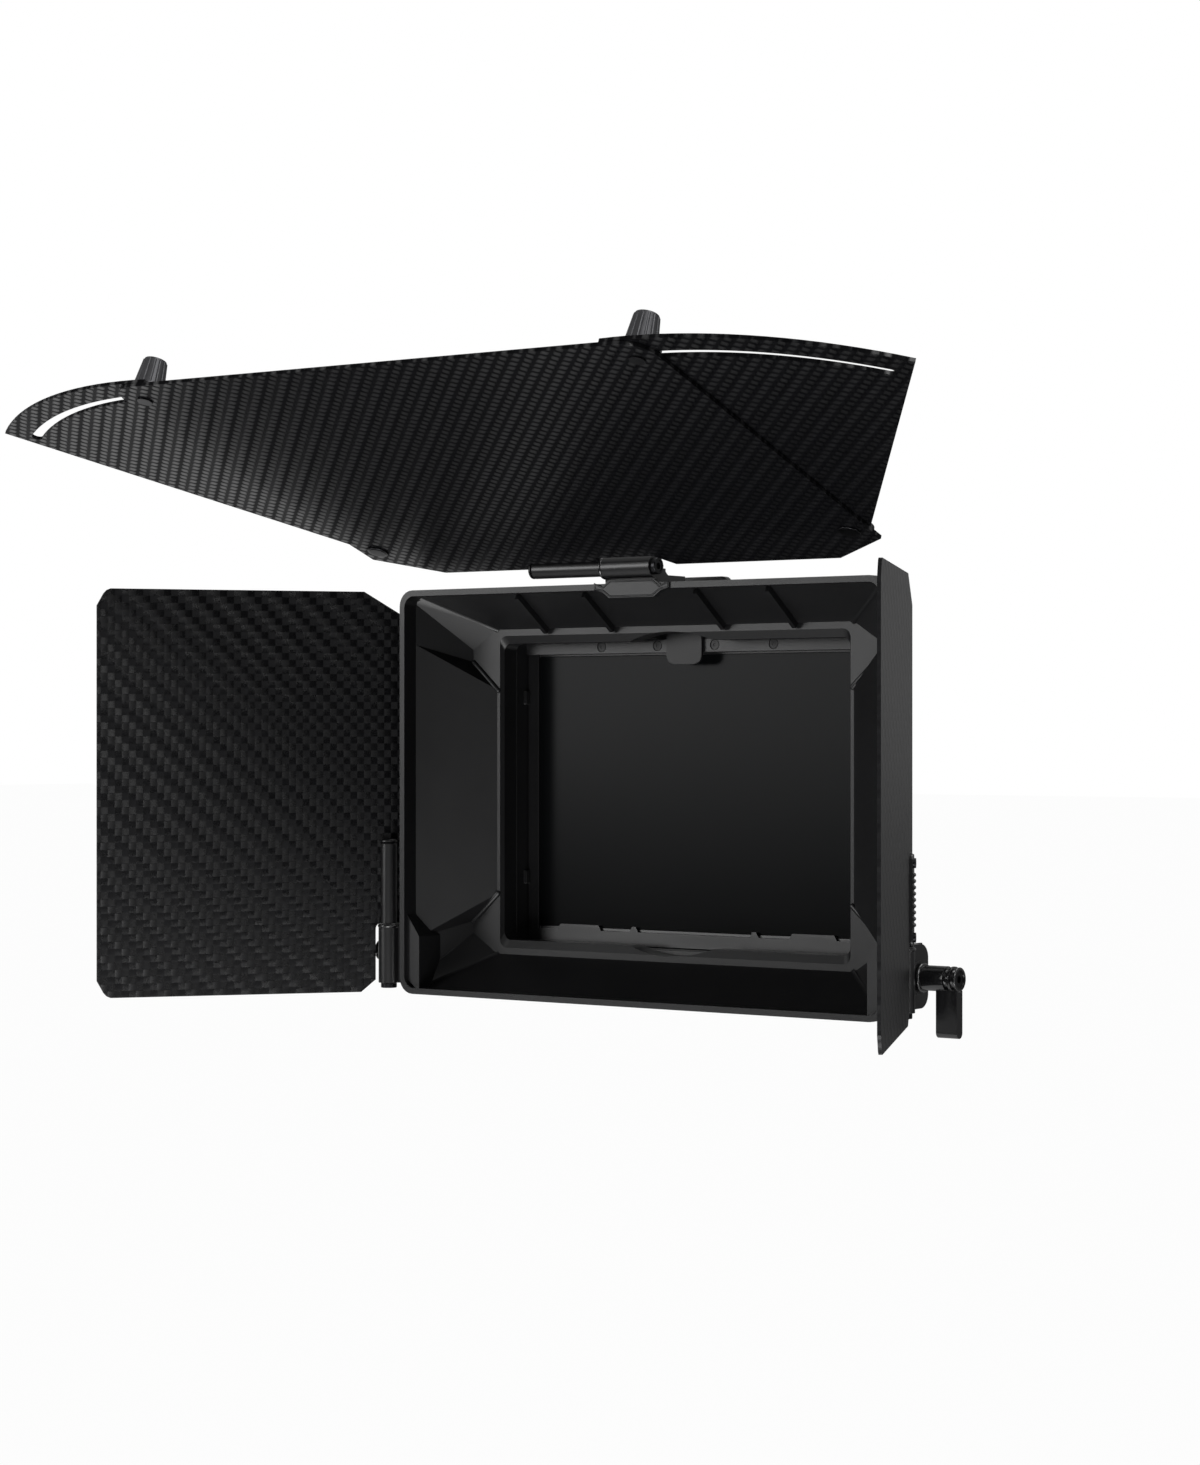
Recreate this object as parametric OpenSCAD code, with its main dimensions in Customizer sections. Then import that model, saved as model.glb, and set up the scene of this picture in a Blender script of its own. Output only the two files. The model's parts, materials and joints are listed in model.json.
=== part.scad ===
// Clamp-on matte box with a tiltable top flag, two fold-out wings and two side flags.
// Origin: on the optical axis at the rear face of the lens clamp ring.
// +Z is up, the hood looks along -Y, and +X is the right side seen from the front.

/* [Hood] */
// Outer width of the front rim
hood_w = 210; // [200:1:225]
// Outer height of the front rim
hood_h = 151; // [145:1:165]
// Depth of the hood from the rim face to its rear face
hood_depth = 34; // [32:0.5:40]
// Length of the straight rim before the walls slope in
rim_depth = 7; // [6:0.5:8]
// Thickness of the moulded walls
hood_wall = 2.2; // [1.8:0.1:2.6]
// Radius of the outer rim corners
corner_r = 6; // [4:0.5:8]
// Depth from the rim face to the flat border round the mouth
border_depth = 25; // [24:0.5:26]
// Width of the mouth
mouth_w = 151.4; // [150.6:0.1:152]
// Height of the mouth
mouth_h = 111.4; // [108:0.2:114]
// Width of the flat border beside the mouth
border_side = 2.3; // [1.8:0.1:3]
// Width of the border above and below the mouth
border_top = 5.3; // [4.5:0.1:6]

/* [Filter stage] */
// Width of the filter glass
filter_w = 143.5; // [142:0.1:144]
// Height of the filter glass
filter_h = 101.6; // [100:0.1:102]
// Thickness of the filter glass
filter_t = 4; // [3.2:0.1:4.2]
// Height the tray can be drawn up
tray_travel = 118; // [100:1:125]
// Running clearance of the sliding tray
slide_gap = 0.3; // [0.2:0.05:0.4]
// Thickness of the stage housing's side walls
stage_wall = 5; // [4:0.1:5.5]

/* [Lens clamp] */
// Bore of the clamp ring, the lens front that it holds
lens_d = 95; // [90:0.5:98]
// Wall of the clamp ring around the bore
ring_wall = 9; // [8:0.5:10]
// Length of the clamp ring
ring_len = 14; // [12:0.5:18]
// Thickness of the rear plate
rear_plate_t = 4; // [3:0.5:6]

/* [Hinges] */
// Distance from the hood side to the side hinge axis
side_hinge_off = 6.4; // [6.2:0.1:7]
// Distance from the hood top to the top hinge axis
top_hinge_off = 5.8; // [5.6:0.1:6.4]
// Distance of the hinge axes behind the rim face
hinge_set = 1.5; // [1.4:0.1:2]
// Diameter of the barrel on the bracket
bracket_barrel_d = 7.8; // [7.4:0.1:8.2]
// Diameter of the barrel on the flag
flag_barrel_d = 6.3; // [5.9:0.1:6.4]
// Diameter of the hinge pin
pin_d = 2; // [1.8:0.1:2.2]
// Length of the bracket barrel
bracket_len = 22; // [20:0.5:24]
// Length of the flag barrel
flag_barrel_len = 31; // [28:0.5:34]

/* [Flags] */
// Thickness of the carbon plates
flag_t = 1.2; // [1:0.1:1.4]
// Height of a side flag
side_flag_h = 150.6; // [145:0.2:152]
// Length of a side flag from its hinge axis
side_flag_len = 109.5; // [100:0.5:109.5]
// Swing of the left flag from straight ahead in the photographed pose
left_swing = 37.6; // [10:0.2:60]
// Swing of the right flag from straight ahead in the photographed pose
right_swing = 25.2; // [10:0.2:60]
// Tilt of the top flag above level
top_tilt = 20.1; // [5:0.1:40]
// Width of the main panel of the top flag
top_panel_w = 219; // [214:1:224]
// Length of the main panel from the hinge axis to its leading edge
top_panel_len = 162.2; // [155:0.2:168]
// Distance of the wing pivots ahead of the hinge axis
wing_pivot_ahead = 20.1; // [19:0.1:22]
// Distance between the two wing pivots
wing_pivot_span = 202.8; // [198:0.2:206]
// Outer radius of a wing about its pivot
wing_r = 142; // [138:0.5:144]
// Angle that a wing folds in
wing_angle = 34.5; // [25:0.5:36]
// Width of the guide slot in a wing
slot_w = 3.7; // [3.6:0.1:4]
// Diameter of the studs that run in the guide slots
stud_d = 3.3; // [3:0.1:3.4]
// Base diameter of the clamping knobs
knob_d = 11; // [9:0.1:12]
// Height of the clamping knobs
knob_h = 12; // [8:0.5:13]

/* [Levers] */
// Diameter of the lever hubs
hub_d = 8.6; // [8:0.1:9]
// Length of the lever hubs
hub_len = 14.6; // [14:0.1:16]
// Length of the lever arms from the hub axis
lever_arm = 20; // [18:0.5:22]

/* [Hidden] */
$fn = 48;

plastic = "#2b2b2c";
satin_black = "#1d1d1e";
steel_dark = "#3a3a3c";
carbon = "#202122";
carbon_light = "#2d2e30";
glass_dark = "#15171a";

// Depths are counted from the rim face and turned into Y by front_y.
stage_depth = 16;
total_depth = hood_depth + stage_depth + rear_plate_t + ring_len;
front_y = -total_depth;
border_w = mouth_w + 2 * border_side;
border_h = mouth_h + 2 * border_top;
mouth_step = 1.5;
block_w = border_w + 2 * hood_wall;
block_h = border_h + 2 * hood_wall;

// Filter stage, from the hood's rear face back
channel_w = mouth_w - 0.2;
tray_w = channel_w - 2 * slide_gap;
tray_h = 114;
channel_floor = -tray_h / 2 - slide_gap;
strip_depth = hood_depth + 2.3;
strip_t = 1.2;
tray_front = strip_depth + strip_t + 3.5;
lip_t = 1.2;
glass_gap = 0.15;
glass_front = tray_front + lip_t;
tray_rear = glass_front + filter_t + 2 * glass_gap + lip_t;
channel_rear = tray_rear + slide_gap;
window_w = 141;
window_top = tray_h / 2 - 5.3;
window_bottom = 5.1 - tray_h / 2;
rear_window_w = filter_w - 5;
rear_window_h = filter_h - 4;
stage_rear = hood_depth + stage_depth;
stage_w = channel_w + 2 * stage_wall;
stage_top = border_h / 2 + hood_wall - 1;
stage_bottom = -stage_top;
long_screw_d = 2.6;
long_screw_x = (channel_w + stage_wall) / 2;
long_screw_z = 50;

// Hinges
side_axis_x = hood_w / 2 + side_hinge_off;
top_axis_z = hood_h / 2 + top_hinge_off;
bracket_plate_t = 2.9;
bracket_plate_front = 2.6;
bracket_plate_rear = 24.5;
bracket_r = 5;
lever_set = 14.5;
lever_boss_d = 11.5;
lever_boss_h = 2.8;
side_bracket_z = -71.8;
top_bracket_x = 10;
joint_gap = 0.3;
pin_clear = 0.06;
plate_seat = 1.2;
strip_w = 7;
hinge_strip_t = 1;
screw_d = 3;
head_d = 4.6;
head_h = 0.9;
pad_depth = bracket_plate_rear + 1;

// Wings
wing_gap = 0.2;
wing_t0 = plate_seat + flag_t + wing_gap;
pivot_x = wing_pivot_span / 2;
stud_reach = 131.4;
rivet_d = 5;
rivet_clear = 0.08;
rivet_head_d = 10;
rivet_head_h = 1.4;
panel_rear = 1.8;
panel_rear_half = 85.6;

// Outline of a rectangle with rounded corners as a list of points
function round_rect(w, h, r, n = 6) = [
    for (q = [0:3], i = [0:n])
        let (a = 90 * (q + i / n),
             sx = (q == 0 || q == 3) ? 1 : -1,
             sy = (q < 2) ? 1 : -1)
        [sx * (w / 2 - r) + r * cos(a), sy * (h / 2 - r) + r * sin(a)]];

// Points on an arc, from angle a0 to a1
function arc(c, r, a0, a1, n) = [for (i = [0:n]) c + r * [cos(a0 + (a1 - a0) * i / n), sin(a0 + (a1 - a0) * i / n)]];

// Solid through a row of outlines in the XZ plane; each section is [depth, outline] and all have the same count
module loft(sections) {
    n = len(sections[0][1]);
    m = len(sections);
    pts = [for (s = sections, p = s[1]) [p[0], front_y + s[0], p[1]]];
    sides = [for (j = [0:m - 2], i = [0:n - 1], half = [0, 1])
        let (a = j * n + i, b = j * n + (i + 1) % n)
        half == 0 ? [a, b, b + n] : [a, b + n, a + n]];
    first = [for (i = [0:n - 1]) n - 1 - i];
    last = [for (i = [0:n - 1]) (m - 1) * n + i];
    polyhedron(pts, concat([first], sides, [last]), convexity = 6);
}

// Prism along Y between two depths, from an XZ outline
module prism_y(d0, d1) {
    translate([0, front_y + d1, 0]) rotate([90, 0, 0]) linear_extrude(d1 - d0) children();
}

// Box given by its X range, depth range and Z range
module block(x0, x1, d0, d1, z0, z1) {
    translate([x0, front_y + d0, z0]) cube([x1 - x0, d1 - d0, z1 - z0]);
}

// Copy mirrored to the left side
module both_sides() {
    children();
    mirror([1, 0, 0]) children();
}

// The four corners, by mirroring the upper right one
module four_corners() {
    both_sides() {
        children();
        mirror([0, 0, 1]) children();
    }
}

// Corner pocket of the funnel, grown outwards by g. Its outer wall starts at the rim and ends on the border plane.
function pocket_rim(g) = [
    [hood_w / 2 - 14.6, hood_h / 2 - 31.7 - g], [hood_w / 2 - hood_wall + g, hood_h / 2 - 20.2 - g],
    [hood_w / 2 - hood_wall + g, hood_h / 2 - 4.9 + g], [hood_w / 2 - 4.6 + g, hood_h / 2 - hood_wall + g]];
function pocket_end(g) = [
    [border_w / 2 - 1, border_h / 2 - 23.5 - g], [border_w / 2 + 11.3 + g, border_h / 2 - 12 - g],
    [border_w / 2 + 11.3 + g, border_h / 2 - 7.4 + g], [border_w / 2 + g, border_h / 2 + g]];

module pocket(g, d0, d1) {
    loft([[d0, pocket_rim(g)], [d1, pocket_end(g)]]);
}

module hood_cavity() {
    rim = round_rect(hood_w - 2 * hood_wall, hood_h - 2 * hood_wall, corner_r - hood_wall + 0.5);
    border = round_rect(border_w, border_h, 1.5);
    mouth_front = round_rect(mouth_w + 2, mouth_h + 2 * border_top - 4.8, 3);
    mouth = round_rect(mouth_w, mouth_h, 3);
    loft([[-1, rim], [rim_depth, rim], [border_depth, border]]);
    loft([[border_depth - 0.5, mouth_front], [border_depth, mouth_front], [border_depth + mouth_step, mouth],
        [hood_depth + 1, mouth]]);
}

// Arched notch for a fingertip in the top and bottom edge of the mouth
module arch_notch() {
    half = 18;
    rise = 3.2;
    r = (half * half + rise * rise) / (2 * rise);
    prism_y(border_depth - 0.5, hood_depth + 1)
        intersection() {
            translate([0, mouth_h / 2 + rise - r]) circle(r, $fn = 120);
            translate([-half, mouth_h / 2 - 1]) square([2 * half, rise + 2]);
        }
}

// Square ribs under the top wall
module roof_ribs() {
    rib_w = 1.6;
    proud = 2.4;
    run = border_depth - rim_depth;
    drop = (hood_h / 2 - hood_wall) - border_h / 2;
    for (x = [-54.4, -24.3, 24.3, 54.4])
        translate([x - rib_w / 2, front_y + border_depth, border_h / 2])
            rotate([180 - atan2(drop, run), 0, 0])
                translate([0, 0, -0.6]) cube([rib_w, norm([run, drop]), proud + 0.6]);
}

// Octagonal pad on the top rim, a little to the right of the middle and left bare
module top_tab() {
    middle = 1.3;
    half = 16.3;
    top = hood_h / 2 + 1.2;
    low = hood_h / 2 - 5.1;
    translate([middle, 0, 0])
        prism_y(-0.6, 2.2)
            polygon([[6.7 - half, top], [half - 6.7, top], [half - 3.6, top - 2.2], [half, hood_h / 2],
                [half, hood_h / 2 - 2], [half - 3.6, low + 2.2], [half - 6.7, low], [6.7 - half, low],
                [3.6 - half, low + 2.2], [-half, hood_h / 2 - 2], [-half, hood_h / 2], [3.6 - half, top - 2.2]]);
}

// Raised pads that carry the flag brackets, outside the sloping walls
module bracket_pads() {
    both_sides()
        difference() {
            block(block_w / 2 - 6, hood_w / 2, rim_depth - 3, pad_depth, side_bracket_z, side_bracket_z + bracket_len);
            block(hood_w / 2 - 24, hood_w / 2 - 1, pad_depth - 7, pad_depth + 1, side_bracket_z - 1,
                side_bracket_z + bracket_len + 1);
        }
    block(top_bracket_x - 23, top_bracket_x + 1, rim_depth - 3, pad_depth, border_h / 2, hood_h / 2);
}

// Screw bosses inside the rim that back the side brackets
module rim_bosses() {
    w = 5.7;
    both_sides()
        prism_y(1.8, 15)
            polygon([[hood_w / 2 - 1, -46], [hood_w / 2 - hood_wall, -46], [hood_w / 2 - hood_wall - w, -54],
                [hood_w / 2 - hood_wall - w, -hood_h / 2 + 1], [hood_w / 2 - 1, -hood_h / 2 + corner_r]]);
}

module hood() {
    rim = round_rect(hood_w, hood_h, corner_r);
    neck = round_rect(block_w, block_h, 3);
    color(plastic)
    difference() {
        union() {
            difference() {
                union() {
                    loft([[0, rim], [rim_depth, rim], [border_depth + hood_wall, neck], [hood_depth, neck]]);
                    four_corners() pocket(hood_wall - 0.6, rim_depth - 1, border_depth + hood_wall);
                    bracket_pads();
                }
                hood_cavity();
                four_corners() pocket(0, rim_depth, border_depth);
            }
            roof_ribs();
            top_tab();
            rim_bosses();
        }
        arch_notch();
        mirror([0, 0, 1]) arch_notch();
        both_sides() lever_hole();
        lever_hole_top();
        long_screws(0);
    }
}

// Threaded seats for the bracket levers
module lever_hole() {
    translate([hood_w / 2 - 5, front_y + lever_set, side_bracket_z + bracket_len / 2])
        rotate([0, 90, 0]) cylinder(d = screw_d + 0.4, h = 7);
}

module lever_hole_top() {
    translate([top_bracket_x - bracket_len / 2, front_y + lever_set, hood_h / 2 - 5.6]) cylinder(d = screw_d + 0.4, h = 7);
}

// U-shaped housing behind the hood, open at the top for the tray
module stage_housing() {
    nub = 1.2;
    color(plastic) {
        difference() {
            block(-stage_w / 2, stage_w / 2, hood_depth, stage_rear, stage_bottom, stage_top);
            block(-channel_w / 2, channel_w / 2, hood_depth - 1, channel_rear, channel_floor, stage_top + 1);
            block(-rear_window_w / 2, rear_window_w / 2, hood_depth, stage_rear + 1, -rear_window_h / 2, rear_window_h / 2);
            long_screws(0);
        }
        both_sides()
            for (z = [-35, 33])
                block(channel_w / 2 - nub, channel_w / 2, tray_front - 2.5, tray_front - slide_gap, z, z + 5);
    }
}

// Four long screws, or their holes, that join the plate, the housing and the hood
module long_screws(head) {
    four_corners()
        translate([long_screw_x, front_y + hood_depth - 3, long_screw_z]) rotate([-90, 0, 0]) {
            cylinder(d = long_screw_d, h = stage_depth + rear_plate_t + 3);
            if (head > 0)
                translate([0, 0, stage_depth + rear_plate_t + 3]) socket_head(head_d, head_h);
        }
}

// Low screw head with a hexagon socket, standing on z = 0
module socket_head(d, h) {
    difference() {
        cylinder(d = d, h = h);
        translate([0, 0, h * 0.4]) cylinder(d = d * 0.45, h = h, $fn = 6);
    }
}

module plate_screws() {
    color(steel_dark) long_screws(1);
}

spigot_d = lens_d + 2 * ring_wall - 7;
module rear_plate() {
    color(satin_black)
    difference() {
        prism_y(stage_rear, stage_rear + rear_plate_t)
            polygon(round_rect(stage_w, 2 * stage_top, 6));
        translate([0, front_y + stage_rear - 1, 0]) rotate([-90, 0, 0]) cylinder(d = spigot_d, h = rear_plate_t + 2, $fn = 96);
        long_screws(0);
    }
}

ear_gap = 3;
ear_t = 7;
ring_d = lens_d + 2 * ring_wall;
ear_z = ring_d / 2 + 7;
clamp_screw_d = 4;
ring_front = stage_rear + rear_plate_t;
ring_screw_r = (lens_d + spigot_d) / 4 + 0.2;

module ring_screw_set(head) {
    for (a = [45:90:315])
        rotate([0, a, 0]) translate([ring_screw_r, -ring_len - rear_plate_t + 3, 0]) rotate([-90, 0, 0]) {
            cylinder(d = 2.4, h = ring_len + rear_plate_t - 3 - head_h);
            translate([0, 0, ring_len + rear_plate_t - 3 - head_h])
                if (head > 0) socket_head(3.8, head_h);
                else cylinder(d = 3.8, h = head_h + 1);
        }
}

// Split ring that grips the lens front, with two ears for the clamp screw
module clamp_ring() {
    color(satin_black)
    difference() {
        union() {
            translate([0, -ring_len, 0]) rotate([-90, 0, 0]) cylinder(d = ring_d, h = ring_len, $fn = 96);
            translate([0, -ring_len - rear_plate_t, 0]) rotate([-90, 0, 0]) cylinder(d = spigot_d, h = rear_plate_t + 1, $fn = 96);
            block(-ear_gap / 2 - ear_t, ear_gap / 2 + ear_t, ring_front + 2, total_depth - 2, ring_d / 2 - 6, ear_z + 6);
        }
        translate([0, -total_depth, 0]) rotate([-90, 0, 0]) cylinder(d = lens_d, h = total_depth + 1, $fn = 96);
        translate([-ear_gap / 2, -ring_len - rear_plate_t - 1, 0]) cube([ear_gap, ring_len + rear_plate_t + 2, ear_z + 8]);
        clamp_axis() cylinder(r = clamp_screw_d / 2 + pin_clear, h = 60, center = true);
        ring_screw_set(0);
    }
}

// Frame on the clamp screw: z runs along +X from the middle of the ring's split
module clamp_axis() {
    translate([0, -ring_len / 2, ear_z]) rotate([0, 90, 0]) children();
}

module ring_screws() {
    color(steel_dark) ring_screw_set(1);
}

module clamp_screw() {
    reach = ear_gap / 2 + ear_t + joint_gap;
    color(steel_dark)
    clamp_axis() {
        translate([0, 0, -reach]) cylinder(d = clamp_screw_d, h = 2 * reach + 6);
        translate([0, 0, -reach - 2]) cylinder(d = 7, h = 2);
    }
}

module clamp_knob() {
    reach = ear_gap / 2 + ear_t + joint_gap;
    color(satin_black)
    clamp_axis() translate([0, 0, reach])
        difference() {
            fluted_grip(13, 11.4, 10, 16, 0.8);
            translate([0, 0, -1]) cylinder(d = clamp_screw_d, h = 7);
        }
}

// Tapered round grip with flutes along its side
module fluted_grip(base_d, top_d, h, flutes, flute_r) {
    lean = atan2((base_d - top_d) / 2, h);
    difference() {
        union() {
            cylinder(d1 = base_d, d2 = top_d, h = h - 0.6);
            translate([0, 0, h - 0.6]) cylinder(d = top_d - 0.8, h = 0.6);
        }
        for (i = [0:flutes - 1])
            rotate([0, 0, i * 360 / flutes]) translate([base_d / 2 + flute_r * 0.3, 0, h * 0.16])
                rotate([0, -lean, 0]) cylinder(r = flute_r, h = h, $fn = 16);
    }
}

// Tray with side lips in front of the glass, a rear lip and a pull tab on top
module tray_frame() {
    glass_w = filter_w + 2 * glass_gap;
    glass_h = filter_h + 2 * glass_gap;
    tab_half = 15.5;
    tab_top = 79.2;
    color(satin_black)
    difference() {
        union() {
            block(-tray_w / 2, tray_w / 2, tray_front, tray_rear, -tray_h / 2, tray_h / 2);
            prism_y(tray_front, tray_front + 2.8)
                translate([0, (tab_top + tray_h / 2) / 2 - 2])
                    polygon(round_rect(2 * tab_half, tab_top - tray_h / 2 + 4, 3));
        }
        difference() {
            block(-window_w / 2, window_w / 2, tray_front - 1, glass_front, window_bottom, window_top);
            lip_teeth();
        }
        block(-glass_w / 2, glass_w / 2, glass_front, glass_front + filter_t + 2 * glass_gap, -glass_h / 2, glass_h / 2);
        block(-rear_window_w / 2, rear_window_w / 2, tray_front, tray_rear + 1, -rear_window_h / 2, rear_window_h / 2);
    }
}

// Teeth on the lower lip that hold the glass
module lip_teeth() {
    rise = 2;
    both_sides()
        prism_y(tray_front - 1, glass_front)
            for (span = [[24, 29], [41, 62]])
                polygon([[span[0], window_bottom - 1], [span[1], window_bottom - 1],
                    [span[1] - 1.6, window_bottom + rise], [span[0] + 1.6, window_bottom + rise]]);
}

strip_half = 72.6;
strip_bottom = window_top;
strip_top = tray_h / 2 - 0.6;
strip_screw_z = tray_h / 2 - 2.8;
strip_screw_pitch = 25.2;
strip_screw_d = 1.8;
strip_screw_len = 4;
strip_head_d = 3.4;
strip_sink = 0.5;

// Places along the strip: a frame whose z runs back from its front face
module strip_screw_places() {
    for (k = [-1.5:1.5])
        translate([k * strip_screw_pitch, front_y + strip_depth, strip_screw_z]) rotate([-90, 0, 0]) children();
}

module tray_strip() {
    color(satin_black)
    difference() {
        block(-strip_half, strip_half, strip_depth, tray_front, strip_bottom, strip_top);
        strip_screw_places() {
            cylinder(d = strip_screw_d, h = strip_screw_len, $fn = 24);
            translate([0, 0, -1]) cylinder(d = strip_head_d + 0.6, h = 1 + strip_sink);
        }
    }
}

module strip_screws() {
    color(steel_dark) {
        strip_screw_places() {
            translate([0, 0, strip_sink]) cylinder(d = strip_screw_d, h = strip_screw_len - strip_sink, $fn = 24);
            translate([0, 0, strip_sink]) mirror([0, 0, 1]) socket_head(strip_head_d, 0.7 * strip_sink);
        }
    }
}

latch_half = 7.8;
latch_t = 1.1;
module tray_latch() {
    color(satin_black)
    prism_y(strip_depth - slide_gap - latch_t, strip_depth - slide_gap)
        translate([0, tray_h / 2 - 3.6]) polygon(round_rect(2 * latch_half, 12.4, 3.4));
}

module filter_glass() {
    color(glass_dark)
    block(-filter_w / 2, filter_w / 2, glass_front + glass_gap, glass_front + glass_gap + filter_t, -filter_h / 2, filter_h / 2);
}

// Frames on the hood side: x points away from the hood, y to the rear and z along the hinge
module right_wall() {
    translate([hood_w / 2, front_y, side_bracket_z]) children();
}

module left_wall() {
    mirror([1, 0, 0]) right_wall() children();
}

module top_wall() {
    translate([top_bracket_x, front_y, hood_h / 2]) rotate([0, -90, 0]) children();
}

// Frames on the hinge axes, turned with the flag: x is square to the panel and -y runs along it
module right_axis() {
    translate([side_axis_x, front_y + hinge_set, side_bracket_z]) rotate([0, 0, right_swing]) children();
}

module left_axis() {
    mirror([1, 0, 0]) translate([side_axis_x, front_y + hinge_set, side_bracket_z]) rotate([0, 0, left_swing]) children();
}

module top_axis() {
    top_plane() translate([top_bracket_x, 0, 0]) rotate([0, -90, 0]) children();
}

// Plane of the top flag: x across, -y towards the leading edge, z square to the panel
module top_plane() {
    translate([0, front_y + hinge_set, top_axis_z]) rotate([-top_tilt, 0, 0]) children();
}

// Bracket with a foot plate on the hood, a barrel for the pin and a boss for the lever
module bracket(off) {
    bore_r = pin_d / 2 + pin_clear;
    difference() {
        union() {
            foot_plate();
            translate([off, hinge_set, 0]) cylinder(d = bracket_barrel_d, h = bracket_len);
            linear_extrude(bracket_len)
                polygon([[0, bracket_plate_front], [off, hinge_set], [off + 1, hinge_set + 3.6],
                    [bracket_plate_t, bracket_plate_front + 7.5], [0, bracket_plate_front + 8]]);
            translate([0, lever_set, bracket_len / 2]) rotate([0, 90, 0])
                cylinder(d = lever_boss_d, h = bracket_plate_t + lever_boss_h);
        }
        translate([off, hinge_set, -1]) cylinder(r = bore_r, h = bracket_len + 2);
        translate([-1, lever_set, bracket_len / 2]) rotate([0, 90, 0]) cylinder(d = screw_d + 0.2, h = 12);
    }
}

// Foot plate, with the two rear corners rounded
module foot_plate() {
    length = bracket_plate_rear - bracket_plate_front;
    rotate([0, 90, 0]) linear_extrude(bracket_plate_t)
        translate([-bracket_len, bracket_plate_front])
            difference() {
                square([bracket_len, length]);
                for (x = [0, bracket_len])
                    translate([x, length])
                        difference() {
                            square(2 * bracket_r, center = true);
                            translate([x == 0 ? bracket_r : -bracket_r, -bracket_r]) circle(bracket_r);
                        }
            }
}

// Pin with a socket head under the bracket, fixed in the flag barrel
module hinge_pin() {
    grip = 12;
    head = 1.4;
    translate([0, 0, -joint_gap]) {
        cylinder(d = pin_d, h = bracket_len + 2 * joint_gap + grip);
        mirror([0, 0, 1]) socket_head(6, head);
    }
}

barrel_start = bracket_len + joint_gap;
end_land = 6;
rivet_shank = 1.6;
module flag_screw_places() {
    for (u = [end_land / 2, flag_barrel_len - end_land / 2])
        translate([plate_seat, 0, barrel_start + u]) rotate([0, 90, 0]) children();
}

// Barrel with a flat seat for the panel
module hinge_barrel() {
    difference() {
        union() {
            translate([0, 0, barrel_start]) cylinder(d = flag_barrel_d, h = flag_barrel_len - 1.2);
            translate([0, 0, barrel_start + flag_barrel_len - 1.2])
                cylinder(d1 = flag_barrel_d, d2 = flag_barrel_d - 2, h = 1.2);
        }
        translate([plate_seat, -10, barrel_start - 1]) cube([10, 20, flag_barrel_len + 2]);
        translate([0, 0, barrel_start - 1]) cylinder(d = pin_d, h = 13);
    }
}

// Strip with round ends and a row of grip ribs on the outer face of the panel
module hinge_strip() {
    ribs = 9;
    rib_d = 1.5;
    outer = plate_seat + flag_t + hinge_strip_t;
    pitch = (flag_barrel_len - 2 * end_land) / ribs;
    difference() {
        translate([plate_seat + flag_t, 0, barrel_start]) rotate([90, 0, 90]) linear_extrude(hinge_strip_t)
            difference() {
                translate([-strip_w / 2, 0]) square([strip_w, flag_barrel_len]);
                for (y = [0, flag_barrel_len], x = [-strip_w / 2, strip_w / 2])
                    translate([x, y])
                        difference() {
                            square(4, center = true);
                            translate([x < 0 ? 2 : -2, y == 0 ? 2 : -2]) circle(2);
                        }
            }
        flag_screw_places() cylinder(d = rivet_shank, h = 10);
    }
    for (i = [0:ribs - 1])
        translate([outer - 0.1, strip_w / 2 - 0.5, barrel_start + end_land + (i + 0.5) * pitch])
            rotate([90, 0, 0]) cylinder(d = rib_d, h = strip_w - 1, $fn = 16);
}

module hinge_screws() {
    stack = flag_t + hinge_strip_t;
    flag_screw_places() {
        cylinder(d = rivet_shank, h = stack);
        translate([0, 0, stack]) socket_head(3.4, 0.8);
    }
}

// Side flag panel, drawn with s along the flag and z up, on the seat of the barrel
// Rounded outer corner, as distances from the sharp one
flag_corner = [[5, 0], [3.6, 0.6], [2.5, 1.8], [0, 6.3]];

module side_flag() {
    top = side_flag_h / 2;
    rear = -7.5;
    shoulder = side_bracket_z + bracket_len + 0.5;
    notch_s = 4.8;
    notch_r = 2.4;
    difference() {
        translate([plate_seat, 0, -side_bracket_z]) rotate([90, 0, 90]) linear_extrude(flag_t)
            mirror([1, 0, 0])
                polygon(concat(
                    [[9.2, top]],
                    [for (p = flag_corner) [side_flag_len - p.x, top - p.y]],
                    [for (i = [len(flag_corner) - 1:-1:0]) [side_flag_len - flag_corner[i].x, flag_corner[i].y - top]],
                    [[notch_s + 5.6, -top], [notch_s, 4.6 - top]],
                    arc([notch_s - notch_r, shoulder - notch_r], notch_r, 0, 90, 6),
                    [[rear, shoulder], [rear, top - 10]]));
        flag_screw_places() cylinder(d = rivet_shank, h = 10);
    }
}

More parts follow.
